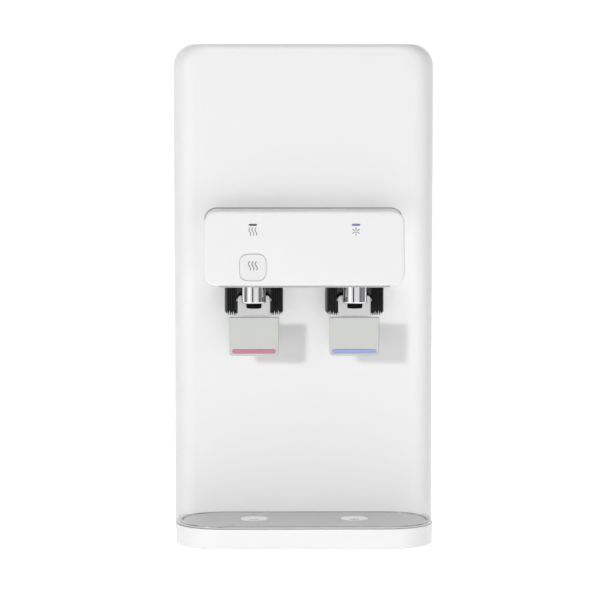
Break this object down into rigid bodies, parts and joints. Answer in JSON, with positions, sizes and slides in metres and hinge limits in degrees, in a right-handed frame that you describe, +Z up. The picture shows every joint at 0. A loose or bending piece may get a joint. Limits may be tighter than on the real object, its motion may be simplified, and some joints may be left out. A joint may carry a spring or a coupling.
{
  "type": "countertop water dispenser",
  "caption": "White countertop hot and cold water dispenser with a tap head, push-back levers, a hot water lock button and a pull-out drip tray.",
  "frame": {"origin": "on the surface that the feet rest on, under the middle of the object's box", "axes": "+Z up, the front with the taps and the drip tray faces -Y, +X to the right seen from the front"},
  "size_m": [0.26, 0.47, 0.492],
  "materials": {
    "panel": "smooth white moulded plastic, low gloss",
    "cover": "white moulded plastic, low gloss",
    "head": "white moulded plastic, satin",
    "underplate": "grey moulded plastic, satin",
    "button": "white moulded plastic, satin",
    "tray": "bright white moulded plastic",
    "rim": "bright plated trim ring",
    "plate": "satin stainless steel",
    "tap_black": "polished black plastic",
    "nozzle_chrome": "polished chrome",
    "bracket": "silver-grey moulded plastic with polished edges",
    "paddle": "light warm grey moulded plastic",
    "hot_strip": "dusty red insert",
    "cold_strip": "soft blue insert",
    "hot_window": "dark red light window",
    "cold_window": "dark blue light window",
    "foot_rubber": "matt rubber",
    "plug_rubber": "matt rubber",
    "chassis": "galvanised sheet steel",
    "board": "green circuit board",
    "compressor": "black enamelled steel",
    "condenser": "black painted fin block",
    "tank_steel": "stainless steel",
    "stem_brass": "turned brass",
    "foam": "expanded foam",
    "filter": "white plastic cartridge",
    "inner_plastic": "natural white plastic",
    "hot_rocker": "red rocker",
    "cold_rocker": "blue rocker"
  },
  "bodies": {
    "cabinet": {"front_panel": "panel", "left_side_cover": "cover", "right_side_cover": "cover", "rear_cover": "cover", "base_pan": "chassis", "front_left_foot": "foot_rubber", "front_right_foot": "foot_rubber", "rear_left_foot": "foot_rubber", "rear_right_foot": "foot_rubber", "head_cover": "head", "head_underplate": "underplate", "lock_button_dome": "foot_rubber", "hot_indicator_window": "hot_window", "cold_indicator_window": "cold_window", "head_board": "board", "inner_frame": "chassis", "compressor": "compressor", "condenser": "condenser", "cold_tank": "tank_steel", "cold_tank_jacket": "foam", "hot_tank": "tank_steel", "hot_tank_jacket": "foam", "filter_manifold": "inner_plastic", "main_board": "board", "inlet_valve": "inner_plastic", "power_inlet": "tap_black", "water_inlet": "inner_plastic", "hot_tap_housing": "tap_black", "hot_nozzle": "nozzle_chrome", "hot_nozzle_tip": "tap_black", "hot_spout_pipe": "tank_steel", "hot_lever_pin": "tank_steel", "hot_return_spring": "tank_steel", "hot_valve_body": "inner_plastic", "cold_tap_housing": "tap_black", "cold_nozzle": "nozzle_chrome", "cold_nozzle_tip": "tap_black", "cold_spout_pipe": "tank_steel", "cold_lever_pin": "tank_steel", "cold_return_spring": "tank_steel", "cold_valve_body": "inner_plastic"},
    "hot_lever": {"hot_lever_bracket": "bracket", "hot_lever_paddle": "paddle", "hot_lever_strip": "hot_strip"},
    "cold_lever": {"cold_lever_bracket": "bracket", "cold_lever_paddle": "paddle", "cold_lever_strip": "cold_strip"},
    "hot_stem": {"hot_valve_stem": "stem_brass"},
    "cold_stem": {"cold_valve_stem": "stem_brass"},
    "lock_button": {"hot_lock_button": "button"},
    "tray": {"drip_tray": "tray", "tray_rim": "rim"},
    "grid": {"drip_plate": "plate"},
    "lid": {"top_cover": "cover"},
    "hot_rocker": {"hot_power_switch": "hot_rocker"},
    "cold_rocker": {"cold_power_switch": "cold_rocker"},
    "plug": {"drain_plug": "plug_rubber"},
    "left_cartridge": {"left_filter": "filter"},
    "right_cartridge": {"right_filter": "filter"}
  },
  "joints": [
    {"name": "hot_lever_press", "type": "hinge", "parent": "cabinet", "child": "hot_lever", "pos_m": [-0.0498, -0.16, 0.2391], "axis": [1, 0, 0], "range_deg": [0, 10], "stiffness_Nm_per_rad": 0.3, "springref_deg": -11.46},
    {"name": "hot_stem_slide", "type": "slide", "parent": "cabinet", "child": "hot_stem", "axis": [0, 1, 0], "range_m": [0, 0.0017]},
    {"name": "cold_lever_press", "type": "hinge", "parent": "cabinet", "child": "cold_lever", "pos_m": [0.0498, -0.16, 0.2391], "axis": [1, 0, 0], "range_deg": [0, 10], "stiffness_Nm_per_rad": 0.3, "springref_deg": -11.46},
    {"name": "cold_stem_slide", "type": "slide", "parent": "cabinet", "child": "cold_stem", "axis": [0, 1, 0], "range_m": [0, 0.0017]},
    {"name": "lock_button_press", "type": "slide", "parent": "cabinet", "child": "lock_button", "axis": [0, 0.9822, -0.1879], "range_m": [0, 0.0015], "stiffness_N_per_m": 300, "springref_m": -0.003},
    {"name": "drip_tray_pull", "type": "slide", "parent": "cabinet", "child": "tray", "axis": [0, -1, 0], "range_m": [0, 0.12]},
    {"name": "drip_plate_lift", "type": "slide", "parent": "tray", "child": "grid", "axis": [0, 0, 1], "range_m": [0, 0.06]},
    {"name": "top_cover_lift", "type": "slide", "parent": "cabinet", "child": "lid", "axis": [0, 0, 1], "range_m": [0, 0.08]},
    {"name": "hot_power_toggle", "type": "hinge", "parent": "cabinet", "child": "hot_rocker", "pos_m": [0.072, 0.2255, 0.092], "axis": [-1, 0, 0], "range_deg": [0, 22.9]},
    {"name": "cold_power_toggle", "type": "hinge", "parent": "cabinet", "child": "cold_rocker", "pos_m": [0.072, 0.2255, 0.118], "axis": [-1, 0, 0], "range_deg": [0, 22.9]},
    {"name": "drain_plug_pull", "type": "slide", "parent": "cabinet", "child": "plug", "axis": [0, 1, 0], "range_m": [0, 0.03]},
    {"name": "left_filter_twist", "type": "hinge", "parent": "cabinet", "child": "left_cartridge", "pos_m": [-0.046, -0.062, 0.09], "axis": [0, 0, 1], "range_deg": [0, 60]},
    {"name": "right_filter_twist", "type": "hinge", "parent": "cabinet", "child": "right_cartridge", "pos_m": [0.046, -0.062, 0.09], "axis": [0, 0, 1], "range_deg": [0, 60]}
  ],
  "couplings": [
    {"joint": "hot_stem_slide", "follows": "hot_lever_press", "m_per_rad": 0.009167},
    {"joint": "cold_stem_slide", "follows": "cold_lever_press", "m_per_rad": 0.009167}
  ]
}
